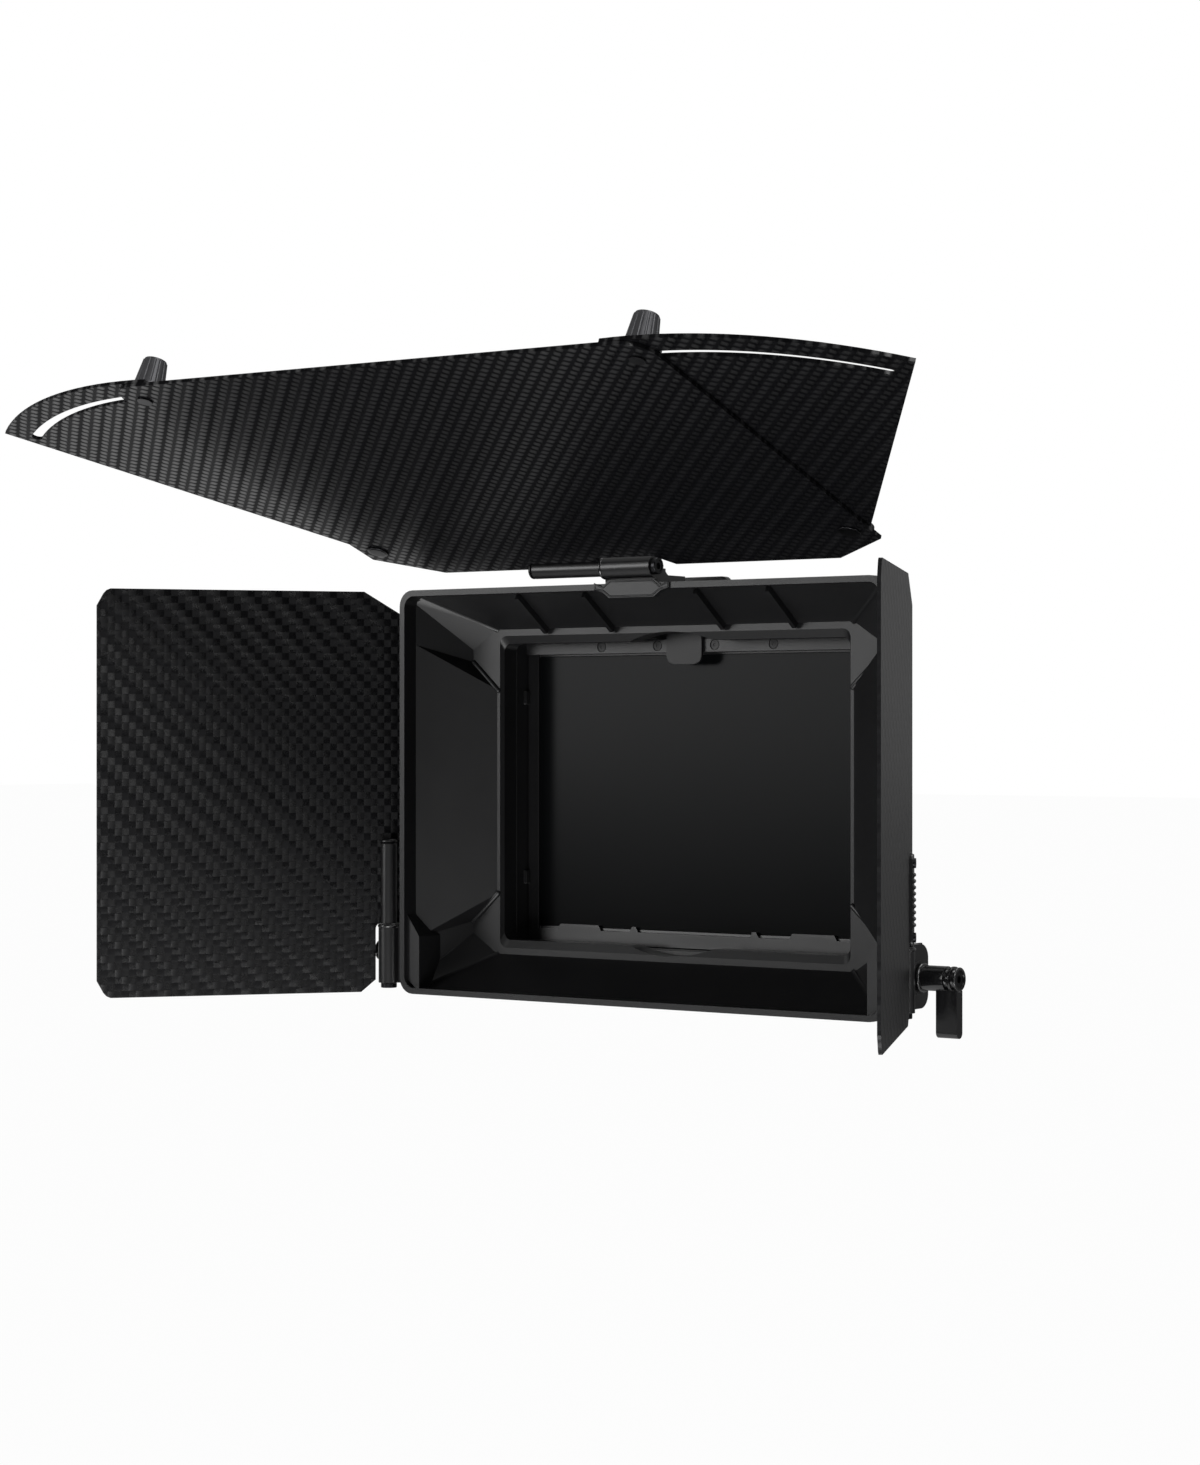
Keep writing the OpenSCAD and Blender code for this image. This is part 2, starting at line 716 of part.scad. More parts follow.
// Lever: hub with a groove, and a flat arm that hangs towards -z
module lever() {
    base = bracket_plate_t + lever_boss_h + joint_gap;
    arm_w = 8;
    arm_t = 4;
    groove_w = 1.8;
    groove_deep = 1;
    translate([0, lever_set, bracket_len / 2])
        difference() {
            union() {
                translate([base, 0, 0]) rotate([0, 90, 0]) cylinder(d = hub_d, h = hub_len);
                translate([base + hub_len - arm_w, 0, 0]) rotate([90, 0, 90]) linear_extrude(arm_w) {
                    translate([-arm_t / 2, -lever_arm + arm_t / 2]) square([arm_t, lever_arm - arm_t / 2]);
                    translate([0, -lever_arm + arm_t / 2]) circle(d = arm_t);
                }
            }
            for (groove = [base + 10.2, base + 12.9])
                translate([groove, 0, 0]) rotate([0, 90, 0])
                    difference() {
                        cylinder(d = hub_d + 0.1, h = groove_w);
                        translate([0, 0, -1]) cylinder(d = hub_d - 2 * groove_deep, h = groove_w + 2);
                    }
            translate([base - 1, 0, 0]) rotate([0, 90, 0]) cylinder(d = screw_d, h = hub_len + 2);
            translate([base + hub_len - 1.6, 0, 0]) rotate([0, 90, 0]) cylinder(d = 6.2, h = 2);
        }
}

// Screw in the hub, reaching through the bracket into the hood
module lever_screw() {
    base = bracket_plate_t + lever_boss_h + joint_gap;
    translate([0, lever_set, bracket_len / 2]) rotate([0, 90, 0]) {
        translate([0, 0, -4]) cylinder(d = screw_d, h = base + hub_len - 1.6 + 4);
        translate([0, 0, base + hub_len - 1.6]) socket_head(6.2, 1.4);
    }
}

// Main panel of the top flag, with a notch round the bracket
module top_flag() {
    half = top_panel_w / 2;
    lead = top_panel_len;
    notch_l = top_bracket_x - bracket_len - joint_gap;
    notch_r = top_bracket_x + 3;
    notch_s = 6;
    round = 10;
    color(carbon_light)
    difference() {
        top_plane() translate([0, 0, plate_seat]) linear_extrude(flag_t)
            mirror([0, 1])
                polygon(concat(
                    [[notch_l, -panel_rear], [-panel_rear_half, -panel_rear], [-half, 12.8]],
                    [for (i = [0:6]) [-half + round * (1 - cos(15 * i)), lead - round * (1 - sin(15 * i))]],
                    [for (i = [0:6]) [half - round * (1 - sin(15 * i)), lead - round * (1 - cos(15 * i))]],
                    [[half, 12.8], [panel_rear_half, -panel_rear], [notch_r + 5, -panel_rear], [notch_r, notch_s],
                        [notch_l, notch_s]]));
        top_axis() flag_screw_places() cylinder(d = rivet_shank, h = 10);
        top_plane() both_sides() {
            wing_pivot() cylinder(d = rivet_d, h = 20, center = true);
            knob_place() cylinder(d = stud_d, h = 20, center = true);
        }
    }
}

module wing_pivot() {
    translate([pivot_x, -wing_pivot_ahead, 0]) children();
}

module knob_place() {
    translate([pivot_x, -wing_pivot_ahead - stud_reach, 0]) children();
}

// Right wing in the plane of the top flag, opened as far as its slot lets it
module wing() {
    inner = 8;
    outer = 6.5;
    a_in = -asin(inner / wing_r);
    a_out = wing_angle + asin(outer / wing_r);
    wing_pivot()
        translate([0, 0, wing_t0])
            difference() {
                linear_extrude(flag_t) {
                    polygon(concat([[-inner, 0]],
                        [for (i = [0:18]) let (b = a_in + (a_out - a_in) * i / 18) wing_r * [sin(b), -cos(b)]],
                        [outer * [cos(wing_angle), sin(wing_angle)]]));
                    circle(inner);
                }
                translate([0, 0, -1]) cylinder(r = rivet_d / 2 + rivet_clear, h = flag_t + 2);
                translate([0, 0, -1]) linear_extrude(flag_t + 2) {
                    intersection() {
                        difference() {
                            circle(stud_reach + slot_w / 2, $fn = 180);
                            circle(stud_reach - slot_w / 2, $fn = 180);
                        }
                        polygon([[0, 0], [0, -2 * wing_r], 2 * wing_r * [sin(wing_angle), -cos(wing_angle)]]);
                    }
                    for (b = [0, wing_angle])
                        translate(stud_reach * [sin(b), -cos(b)]) circle(d = slot_w);
                }
            }
}

module wing_rivet() {
    under = plate_seat;
    over = wing_t0 + flag_t + wing_gap;
    wing_pivot() {
        translate([0, 0, under - 0.7]) cylinder(d = 6, h = 0.7);
        translate([0, 0, under - 0.5]) cylinder(d = rivet_d, h = over - under + 1);
        translate([0, 0, over]) cylinder(d1 = rivet_head_d, d2 = rivet_head_d - 1.6, h = rivet_head_h);
    }
}

module knob_stud() {
    knob_place() {
        translate([0, 0, plate_seat - 0.6]) cylinder(d = 5.4, h = 0.6);
        translate([0, 0, plate_seat - 0.5]) cylinder(d = stud_d, h = wing_t0 + flag_t + knob_h - plate_seat - 1.5);
    }
}

module knob() {
    base = wing_t0 + flag_t + wing_gap;
    knob_place() translate([0, 0, base])
        difference() {
            union() {
                cylinder(d = knob_d + 2.4, h = 1.2);
                translate([0, 0, 1]) fluted_grip(knob_d, knob_d - 2.6, knob_h - 1, 16, 0.62);
            }
            translate([0, 0, -1]) cylinder(r = stud_d / 2 + pin_clear, h = knob_h - 1);
        }
}

module left_bracket() { color(satin_black) left_wall() bracket(side_hinge_off); }
module right_bracket() { color(satin_black) right_wall() bracket(side_hinge_off); }
module top_bracket() { color(satin_black) top_wall() bracket(top_hinge_off); }
module left_hinge_pin() { color(steel_dark) left_axis() hinge_pin(); }
module right_hinge_pin() { color(steel_dark) right_axis() hinge_pin(); }
module top_hinge_pin() { color(steel_dark) top_axis() hinge_pin(); }
module left_hinge_barrel() { color(satin_black) left_axis() hinge_barrel(); }
module right_hinge_barrel() { color(satin_black) right_axis() hinge_barrel(); }
module top_hinge_barrel() { color(satin_black) top_axis() hinge_barrel(); }
module left_hinge_strip() { color(satin_black) left_axis() hinge_strip(); }
module right_hinge_strip() { color(satin_black) right_axis() hinge_strip(); }
module top_hinge_strip() { color(satin_black) top_axis() hinge_strip(); }
module left_flag() { color(carbon) left_axis() side_flag(); }
module right_flag() { color(carbon) right_axis() side_flag(); }
module left_flag_screws() { color(steel_dark) left_axis() hinge_screws(); }
module right_flag_screws() { color(steel_dark) right_axis() hinge_screws(); }
module top_flag_screws() { color(steel_dark) top_axis() hinge_screws(); }
// The left lever is clamped the other way up, with its arm behind the flag.
module left_lever() {
    color(satin_black)
    left_wall() translate([0, lever_set, bracket_len / 2]) rotate([180, 0, 0]) translate([0, -lever_set, -bracket_len / 2]) lever();
}
module right_lever() { color(satin_black) right_wall() lever(); }
module top_lever() { color(satin_black) top_wall() lever(); }
module left_lever_screw() { color(steel_dark) left_wall() lever_screw(); }
module right_lever_screw() { color(steel_dark) right_wall() lever_screw(); }
module top_lever_screw() { color(steel_dark) top_wall() lever_screw(); }
module left_wing() { color(carbon_light) top_plane() mirror([1, 0, 0]) wing(); }
module right_wing() { color(carbon_light) top_plane() wing(); }
module left_wing_rivet() { color(steel_dark) top_plane() mirror([1, 0, 0]) wing_rivet(); }
module right_wing_rivet() { color(steel_dark) top_plane() wing_rivet(); }
module left_knob() { color(steel_dark) top_plane() mirror([1, 0, 0]) knob(); }
module right_knob() { color(steel_dark) top_plane() knob(); }
module left_knob_stud() { color(steel_dark) top_plane() mirror([1, 0, 0]) knob_stud(); }
module right_knob_stud() { color(steel_dark) top_plane() knob_stud(); }

hood();
stage_housing();
rear_plate();
plate_screws();
clamp_ring();
ring_screws();
clamp_screw();
clamp_knob();
tray_frame();
tray_strip();
strip_screws();
tray_latch();
filter_glass();
left_bracket();
left_hinge_pin();
left_hinge_barrel();
left_hinge_strip();
left_flag();
left_flag_screws();
left_lever();
left_lever_screw();
right_bracket();
right_hinge_pin();
right_hinge_barrel();
right_hinge_strip();
right_flag();
right_flag_screws();
right_lever();
right_lever_screw();
top_bracket();
top_hinge_pin();
top_hinge_barrel();
top_hinge_strip();
top_flag();
top_flag_screws();
top_lever();
top_lever_screw();
left_wing();
left_wing_rivet();
left_knob();
left_knob_stud();
right_wing();
right_wing_rivet();
right_knob();
right_knob_stud();
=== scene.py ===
# %% [markdown]
# # A matte box with carbon flags
# A matte box keeps stray light out of a picture. This one has a moulded hood, a tray for a glass
# filter, and three flags on hinges: one on each side and one on top with two wings. The packed
# model comes in as a fixed frame. This script gives it a camera, real finishes, small turned and
# moulded details, and a plain studio. Lengths are in metres. The object looks along -Y, +X is its
# right side, and +Z is up.

# %% Load the frame
import json
import math

import bpy
import numpy as np
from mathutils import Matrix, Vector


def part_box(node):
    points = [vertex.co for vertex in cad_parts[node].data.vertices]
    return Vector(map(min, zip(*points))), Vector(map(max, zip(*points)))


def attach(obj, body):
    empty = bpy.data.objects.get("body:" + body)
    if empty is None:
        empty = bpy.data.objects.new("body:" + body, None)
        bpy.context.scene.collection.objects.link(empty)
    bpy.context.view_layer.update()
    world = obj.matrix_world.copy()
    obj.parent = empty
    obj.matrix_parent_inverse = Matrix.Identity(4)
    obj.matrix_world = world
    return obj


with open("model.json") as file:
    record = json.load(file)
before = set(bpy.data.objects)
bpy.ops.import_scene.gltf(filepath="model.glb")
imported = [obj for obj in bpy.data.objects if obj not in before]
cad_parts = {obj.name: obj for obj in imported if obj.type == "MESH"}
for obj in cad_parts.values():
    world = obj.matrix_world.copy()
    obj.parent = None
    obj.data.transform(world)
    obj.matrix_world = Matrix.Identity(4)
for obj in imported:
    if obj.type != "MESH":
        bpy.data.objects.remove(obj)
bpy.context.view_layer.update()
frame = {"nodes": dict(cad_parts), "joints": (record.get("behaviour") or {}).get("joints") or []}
nodes = frame["nodes"]
joints = {joint["name"]: joint for joint in frame["joints"]}
scene = bpy.context.scene
MM = 0.001
SIDES = ("left", "right", "top")

# %% [markdown]
# The camera stands level in front of the object, 35.5 degrees round to its right, at the height
# of the mouth. Its place and its angle of view were worked out from where the level edges of the
# photograph run together. A level camera keeps the upright edges upright, as they are in the
# photograph.

# %% Camera
CAMERA_LENS = 77.165
CAMERA_PLACE = (0.64051, -0.98367, 0.02231)
CAMERA_ROUND = math.radians(35.5)
LEVEL = math.radians(90)

camera_data = bpy.data.cameras.new("camera")
camera_data.lens = CAMERA_LENS
camera_data.clip_start = 0.01
camera = bpy.data.objects.new("camera", camera_data)
camera.location = CAMERA_PLACE
camera.rotation_euler = (LEVEL, 0, CAMERA_ROUND)
scene.collection.objects.link(camera)
scene.camera = camera
print("camera lens", camera_data.lens, "mm")


# %% [markdown]
# Colours are written as hex codes, as a colour picker shows them. A shader works in linear light,
# so one function turns them.

# %% Colours
def srgb(code):
    """Linear colour of a hex code: each byte over 255, then the power curve of sRGB."""
    parts = [int(code[i:i + 2], 16) / 255 for i in (0, 2, 4)]
    return tuple(((c + 0.055) / 1.055) ** 2.4 if c > 0.04045 else c / 12.92 for c in parts) + (1,)


print("hex 808080 is", round(srgb("808080")[0], 3), "in linear light")


# %% [markdown]
# A material is a small graph of nodes. It could be wired by hand in the editor. Here one function
# adds a node, gives it its settings and links its inputs, so each material reads as a list, from
# the pattern to the shader. A noise is given in cells to the millimetre, so its scale is that
# count divided by MM. A Mix node has a pair of inputs for each kind of data: 2 and 3 are numbers,
# 4 and 5 vectors, 6 and 7 colours.

# %% Nodes and materials
def add(tree, kind, inputs=None, **settings):
    """New node of a kind. settings are its attributes. inputs maps a socket's name or number
    to a value, a socket, or a node, whose first output is taken."""
    node = tree.nodes.new("ShaderNode" + kind)
    for key, value in settings.items():
        setattr(node, key, value)
    for key, value in (inputs or {}).items():
        source = value.outputs[0] if isinstance(value, bpy.types.Node) else value
        if isinstance(source, bpy.types.NodeSocket):
            tree.links.new(source, node.inputs[key])
        else:
            node.inputs[key].default_value = source
    return node


def new_material(name):
    """A named material with an empty node tree."""
    material = bpy.data.materials.new(name)
    material.use_nodes = True
    material.node_tree.nodes.clear()
    return material, material.node_tree


print("materials that came with the frame", len(bpy.data.materials))


# %% [markdown]
# The hood and the housing behind it are black glass-filled nylon, moulded in a spark-eroded steel
# tool. The tool leaves a fine even grain, so a highlight on it is broad and dull. The real grain
# is about 0.1 mm; it is drawn at 0.4 mm, because a finer one is lost between the pixels. A
# second, broad noise, in patches of some 36 mm, varies colour and roughness a little, as handling
# does.

# %% Moulded plastic
HANDLING = 0.028 / MM
NYLON_GRAIN = 2.5 / MM


def moulded_nylon(name, dark, pale, shine):
    """Matte plastic: fine grain in the bump, broad faint variation in colour and roughness."""
    material, tree = new_material(name)
    place = add(tree, "TexCoord").outputs["Object"]
    handled = add(tree, "TexNoise", {
        "Vector": place, "Scale": HANDLING, "Detail": 4.0, "Roughness": 0.6})
    grain = add(tree, "TexNoise", {
        "Vector": place, "Scale": NYLON_GRAIN, "Detail": 2.0, "Roughness": 0.6})
    colour = add(tree, "Mix", {0: handled, 6: srgb(dark), 7: srgb(pale)},
                 data_type="RGBA").outputs[2]
    roughness = add(tree, "MapRange", {
        "Value": handled, "To Min": shine - 0.04, "To Max": shine + 0.05})
    bump = add(tree, "Bump", {"Strength": 0.25, "Distance": 0.08 * MM, "Height": grain})
    shader = add(tree, "BsdfPrincipled", {
        "Base Color": colour, "Roughness": roughness, "Normal": bump, "Specular IOR Level": 0.4})
    add(tree, "OutputMaterial", {"Surface": shader})
    return material


hood_nylon = moulded_nylon("spark_eroded_black_nylon", "0f0f10", "161617", 0.37)
latch_nylon = moulded_nylon("smooth_black_nylon", "0b0b0c", "101011", 0.45)
print("plastics", hood_nylon.name, latch_nylon.name)


# %% [markdown]
# The brackets and the clamp are aluminium, bead-blasted and anodised black. The dyed oxide is a
# hard clear-edged skin, dark and slightly glossy. The metal under it doesn't show, so a dark
# surface with a sheen is truer than a mirror. The levers are turned and polished before they are
# dyed, so they shine more. The blasted grain is 0.24 mm here, again coarser than the real one,
# and the dye clouds over some 17 mm.

# %% Anodised aluminium
DYE_CLOUDS = 0.06 / MM
BLASTED_GRAIN = 4.2 / MM


def anodised(name, dark, pale, shine, level):
    """Dyed oxide: dark cloudy colour, blasted grain in the bump, and a roughness that follows
    the clouds. level is how strongly the oxide's face mirrors."""
    material, tree = new_material(name)
    place = add(tree, "TexCoord").outputs["Object"]
    clouds = add(tree, "TexNoise", {"Vector": place, "Scale": DYE_CLOUDS, "Detail": 3.0})
    grain = add(tree, "TexNoise", {"Vector": place, "Scale": BLASTED_GRAIN, "Detail": 2.0})
    colour = add(tree, "Mix", {0: clouds, 6: srgb(dark), 7: srgb(pale)},
                 data_type="RGBA").outputs[2]
    roughness = add(tree, "MapRange", {
        "Value": clouds, "To Min": shine - 0.03, "To Max": shine + 0.03})
    bump = add(tree, "Bump", {"Strength": 0.1, "Distance": 0.04 * MM, "Height": grain})
    shader = add(tree, "BsdfPrincipled", {
        "Base Color": colour, "Roughness": roughness, "Normal": bump, "Specular IOR Level": level})
    add(tree, "OutputMaterial", {"Surface": shader})
    return material


satin_anodised = anodised("bead_blasted_black_anodised", "101011", "161617", 0.32, 0.6)
gloss_anodised = anodised("polished_black_anodised", "0e0e0f", "131314", 0.17, 0.9)
print("anodised", satin_anodised.name, gloss_anodised.name)


# %% [markdown]
# Screws and pins are steel, blackened in a hot bath, which leaves a thin dark film over a metal
# that still shines. The knobs are turned aluminium in a dark grey dye. Both are metals here, so
# their colour is the colour of what they mirror. The polish is uneven over about a millimetre, as
# a barrelled or dipped part's is.

# %% Blackened and grey metal
UNEVEN_POLISH = 0.9 / MM


def turned_metal(name, dark, pale, shine):
    """Metal whose colour is its mirror colour, with a fine uneven polish."""
    material, tree = new_material(name)
    place = add(tree, "TexCoord").outputs["Object"]
    marks = add(tree, "TexNoise", {"Vector": place, "Scale": UNEVEN_POLISH, "Detail": 3.0})
    colour = add(tree, "Mix", {0: marks, 6: srgb(dark), 7: srgb(pale)},
                 data_type="RGBA").outputs[2]
    roughness = add(tree, "MapRange", {
        "Value": marks, "To Min": shine - 0.04, "To Max": shine + 0.06})
    shader = add(tree, "BsdfPrincipled", {
        "Base Color": colour, "Metallic": 1.0, "Roughness": roughness})
    add(tree, "OutputMaterial", {"Surface": shader})
    return material


black_steel = turned_metal("blackened_steel", "2a2a2c", "38383a", 0.32)
knob_metal = turned_metal("grey_anodised_turned_aluminium", "505052", "5e5e60", 0.44)
print("metals", black_steel.name, knob_metal.name)


# %% [markdown]
# The flags are plates of carbon fibre in epoxy, woven as a 2x2 twill: each tow passes over two
# tows and under two, one step further along in the next row, which draws the diagonals. A tow
# here is about 2.6 mm wide. An image could be laid on, but the weave is simple enough to work out
# from the position: the cell's column and row say which tow lies on top, and the place along that
# tow says how far away the crest of its float is.

# %% Twill pattern
TOW = 2.6 * MM
REPEAT = 4.0
LAST_OVER = 1.5
TOW_ROUND = 0.33
CREST_SIDES = 1.6


def twill(tree, place, turn, u_axis, v_axis, crown):
    """2x2 twill. turn brings object space into the panel's plane, whose axes are u and v.
    A cell shows the tow along v where (column + row) modulo 4 is 0 or 1, and the tow along u
    where it is 2 or 3. Gives which tow is on top, the way it leans, and how far its crest is.
    past is the way past the middle of the float, in tows. The lean is clamp(past / crown, -1, 1)
    along the tow and up to a third across it. The distance from the crest is
    abs(past) + 1.6 * abs(lean across)."""
    cells = add(tree, "Mapping", {"Vector": place, "Rotation": turn, "Scale": (TOW,) * 3},
                vector_type="TEXTURE")
    axes = add(tree, "SeparateXYZ", {"Vector": cells})
    u = axes.outputs[u_axis]
    v = axes.outputs[v_axis]
    column = add(tree, "Math", {0: u}, operation="FLOOR")
    row = add(tree, "Math", {0: v}, operation="FLOOR")
    diagonal = add(tree, "Math", {0: column, 1: row}, operation="ADD")
    step = add(tree, "Math", {0: diagonal, 1: REPEAT}, operation="FLOORED_MODULO")
    over = add(tree, "Math", {0: step, 1: LAST_OVER}, operation="LESS_THAN")
    leans, rests = [], []
    for across, along, number, middle, across_axis, along_axis in (
            (v, u, row, 3.0, v_axis, u_axis), (u, v, column, 1.0, u_axis, v_axis)):
        moved = add(tree, "Math", {0: along, 1: number}, operation="ADD")
        run = add(tree, "Math", {0: moved, 1: REPEAT}, operation="FLOORED_MODULO")
        past = add(tree, "Math", {0: run, 1: middle}, operation="SUBTRACT")
        half = add(tree, "MapRange", {"Value": past, "From Min": -crown, "From Max": crown,
                                      "To Min": -1.0, "To Max": 1.0})
        part = add(tree, "Math", {0: across}, operation="FRACT")
        round_tow = add(tree, "Math", {0: part, 1: 2 * TOW_ROUND, 2: -TOW_ROUND},
                        operation="MULTIPLY_ADD")
        leans.append(add(tree, "CombineXYZ", {along_axis: half, across_axis: round_tow}))
        far_along = add(tree, "Math", {0: past}, operation="ABSOLUTE")
        far_across = add(tree, "Math", {0: round_tow}, operation="ABSOLUTE")
        rests.append(add(tree, "Math", {0: far_across, 1: CREST_SIDES, 2: far_along},
                         operation="MULTIPLY_ADD"))
    shown = add(tree, "Mix", {0: over, 4: leans[0], 5: leans[1]}, data_type="VECTOR").outputs[1]
    rest = add(tree, "Mix", {0: over, 2: rests[0], 3: rests[1]}, data_type="FLOAT").outputs[0]
    return over, shown, rest


print("tow", TOW / MM, "mm, repeat", REPEAT * TOW / MM, "mm")


# %% [markdown]
# A float rises to its middle and dives again, so one half of it leans towards the light and the
# other away, and the weave shows as small light and dark squares. The lean goes straight into
# the normal. A bump map of the same heights would draw a false line at every tow edge. On the top
# flag, which is seen at a grazing angle, only the crests of the floats mirror the room, and their
# flanks lie in each other's shade. So there the specular level falls off from the crest.

# %% Carbon fibre
CREST_STARTS, CREST_ENDS = 0.25, 0.75
TOW_PATCHES = 0.42 / MM


def carbon_twill(name, turn, u_axis, v_axis, lean, crown, shine, levels):
    """Carbon fibre in epoxy. The normal is the flat one plus lean times the way that the tow
    leans. The specular level goes from the first of levels to the second as the distance from
    the crest grows."""
    material, tree = new_material(name)
    place = add(tree, "TexCoord").outputs["Object"]
    over, shown, rest = twill(tree, place, turn, u_axis, v_axis, crown)
    in_object = add(tree, "Mapping", {"Vector": shown, "Rotation": turn, "Scale": (lean,) * 3},
                    vector_type="VECTOR")
    in_world = add(tree, "VectorTransform", {"Vector": in_object}, vector_type="VECTOR",
                   convert_from="OBJECT", convert_to="WORLD")
    flat = add(tree, "NewGeometry").outputs["Normal"]
    tilted = add(tree, "VectorMath", {0: flat, 1: in_world}, operation="ADD")
    normal = add(tree, "VectorMath", {0: tilted}, operation="NORMALIZE")
    patch = add(tree, "TexNoise", {"Vector": place, "Scale": TOW_PATCHES, "Detail": 2.0})
    # The tow along u is painted a little lighter than the tow along v. This is a painted sheen that
    # stands for the fibres mirroring light differently along and across their run. The patch noise
    # is the fibres' own uneven tone.
    tow_u_tone_and_sheen = add(tree, "Mix", {0: patch, 6: srgb("0d0d0e"), 7: srgb("131315")},
                data_type="RGBA").outputs[2]
    tow_v_tone_and_shade = add(tree, "Mix", {0: patch, 6: srgb("080809"), 7: srgb("0d0d0f")},
                data_type="RGBA").outputs[2]
    colour = add(tree, "Mix", {0: over, 6: tow_u_tone_and_sheen, 7: tow_v_tone_and_shade}, data_type="RGBA").outputs[2]
    roughness = add(tree, "MapRange", {
        "Value": patch, "To Min": shine - 0.03, "To Max": shine + 0.04})
    level = add(tree, "MapRange", {"Value": rest, "From Min": CREST_STARTS, "From Max": CREST_ENDS,
                                   "To Min": levels[0], "To Max": levels[1]})
    shader = add(tree, "BsdfPrincipled", {
        "Base Color": colour, "Roughness": roughness,
        "Normal": normal, "Specular IOR Level": level})
    add(tree, "OutputMaterial", {"Surface": shader})
    return material


# %% [markdown]
# Each plate hangs at its own angle, so its pattern is turned with it. The left flag shows its
# face, and needs a strong lean for the weave to show. The right flag and the top flag are seen
# from near their edges, where a slight lean is enough.

# %% The weave of each flag
TOP_TILT = math.radians(20.1)
LEFT_SWING = math.radians(37.6)
RIGHT_SWING = math.radians(25.2)
top_carbon = carbon_twill("carbon_twill_top", (-TOP_TILT, 0, 0), "X", "Y",
                          lean=0.07, crown=1.0, shine=0.3, levels=(0.8, 0.02))
left_carbon = carbon_twill("carbon_twill_left", (0, 0, -LEFT_SWING), "Y", "Z",
                           lean=0.22, crown=0.05, shine=0.27, levels=(0.34, 0.3))
right_carbon = carbon_twill("carbon_twill_right", (0, 0, RIGHT_SWING), "Y", "Z",
                            lean=0.06, crown=0.05, shine=0.38, levels=(0.3, 0.24))
print("weaves", top_carbon.name, left_carbon.name, right_carbon.name)


# %% [markdown]
# The filter is neutral density glass, so dark that it looks black from the front. Both faces are
# polished and coated against reflections, so it mirrors the room only faintly. A broad noise, in
# patches of some 110 mm, stands for wiping marks.

# %% Filter glass
WIPING = 0.009 / MM


def coated_glass(name, tint, level):
    """Nearly opaque dark glass with a faint sheen that wiping has left uneven."""
    material, tree = new_material(name)
    place = add(tree, "TexCoord").outputs["Object"]
    wiped = add(tree, "TexNoise", {"Vector": place, "Scale": WIPING, "Detail": 3.0})
    roughness = add(tree, "MapRange", {"Value": wiped, "To Min": 0.17, "To Max": 0.24})
    shader = add(tree, "BsdfPrincipled", {
        "Base Color": srgb(tint), "Roughness": roughness, "Specular IOR Level": level})
    add(tree, "OutputMaterial", {"Surface": shader})
    return material


filter_glass = coated_glass("coated_neutral_density_glass", "090a0b", 0.06)
print("glass", filter_glass.name)


# %% [markdown]
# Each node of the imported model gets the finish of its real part. Screws, pins, studs and rivets
# share one steel, except the small black ones of the tray's strip. Whatever isn't named here is a
# blasted aluminium part.

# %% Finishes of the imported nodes
def paint(obj, material):
    """Give an object one material in place of those it has."""
    obj.data.materials.clear()
    obj.data.materials.append(material)


FINISHES = {
    "hood": hood_nylon, "stage_housing": hood_nylon, "tray_strip": hood_nylon,
    "tray_latch": latch_nylon, "strip_screws": latch_nylon,
    "top_flag": top_carbon, "left_wing": top_carbon, "right_wing": top_carbon,
    "left_flag": left_carbon, "right_flag": right_carbon, "filter_glass": filter_glass,
    "left_knob": knob_metal, "right_knob": knob_metal,
    "left_lever": gloss_anodised, "right_lever": gloss_anodised, "top_lever": gloss_anodised}
STEEL_WORDS = ("screw", "pin", "stud", "rivet")
for name, obj in nodes.items():
    steel = any(word in name for word in STEEL_WORDS)
    paint(obj, FINISHES.get(name, black_steel if steel else satin_anodised))
print("painted", len(nodes), "nodes")


# %% [markdown]
# A moulded or machined edge is never quite sharp, and its tiny round catches the light as a thin
# pale line. A Bevel modifier rounds every edge that turns by more than 26 degrees. The packed
# mesh is loose triangles, so a Weld joins them first, and weighted normals then keep the flat
# faces flat.

# %% Edge rounds
SHARP_FROM = math.radians(26)
WELD_WITHIN = 0.002 * MM
FLAT_WEIGHT = 60


def ease_edges(name, width):
    """Weld, bevel and weigh the normals of one node."""
    weld = nodes[name].modifiers.new("joined", "WELD")
    weld.merge_threshold = WELD_WITHIN
    bevel = nodes[name].modifiers.new("eased_edges", "BEVEL")
    bevel.width = width * MM
    bevel.segments = 2
    bevel.limit_method = "ANGLE"
    bevel.angle_limit = SHARP_FROM
    normals = nodes[name].modifiers.new("flats", "WEIGHTED_NORMAL")
    normals.weight = FLAT_WEIGHT
    normals.keep_sharp = False


EDGE_ROUNDS = {"hood": 0.5, "stage_housing": 0.4, "clamp_ring": 0.5, "rear_plate": 0.4,
               "clamp_knob": 0.2, "tray_frame": 0.2, "tray_strip": 0.2, "tray_latch": 0.15}
for side in SIDES:
    EDGE_ROUNDS.update({side + "_lever": 0.35, side + "_bracket": 0.3, side + "_hinge_barrel": 0.2,
                        side + "_hinge_strip": 0.12})
for name, width in EDGE_ROUNDS.items():
    ease_edges(name, width)
print("eased", len(EDGE_ROUNDS), "nodes")


# %% [markdown]
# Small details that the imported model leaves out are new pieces. A piece is an array of points and
# a list of faces. Its place is in its points and its object stays at the origin, as with the
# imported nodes, so a pattern on object coordinates runs on from one to the other.

# %% A new piece
CREASE_FROM = math.radians(35)


